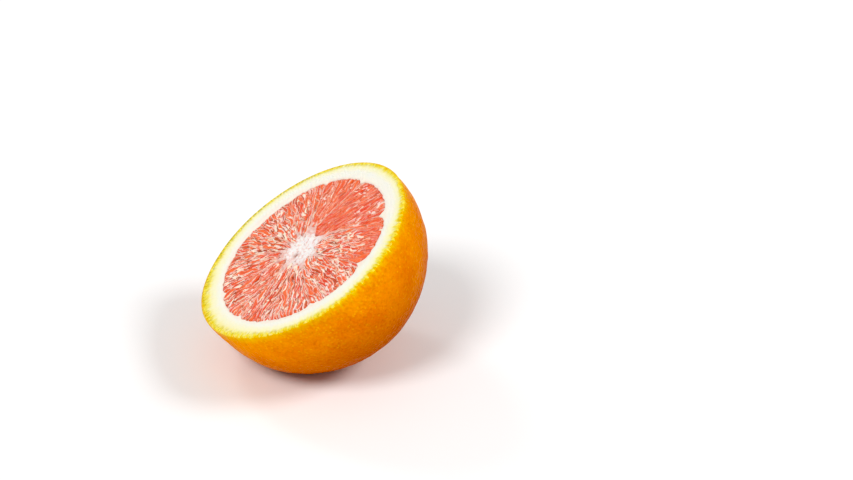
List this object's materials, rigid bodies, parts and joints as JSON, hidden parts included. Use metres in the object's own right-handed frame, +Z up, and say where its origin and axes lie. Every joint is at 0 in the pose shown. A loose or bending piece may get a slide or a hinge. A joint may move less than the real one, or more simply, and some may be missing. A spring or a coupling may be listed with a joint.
{
  "type": "orange half",
  "caption": "Half of a red-fleshed orange, cut across its segments, leaning on its round side with the cut face turned up.",
  "frame": {"origin": "under the middle of the half's bounding box, at the surface that it stands on", "axes": "+Z up; the cut face leans 31.4 degrees down towards -X, so the rim is highest at +X and the blossom end points down and towards +X; +Y is the longest extent"},
  "size_m": [0.0754, 0.0774, 0.0605],
  "materials": {
    "zest": "waxy orange skin with fine oil pits",
    "pith": "spongy cream-white pith, core and membranes",
    "pulp": "wet salmon-red juice sacs"
  },
  "bodies": {
    "root": {"orange_half": "zest"}
  },
  "joints": []
}
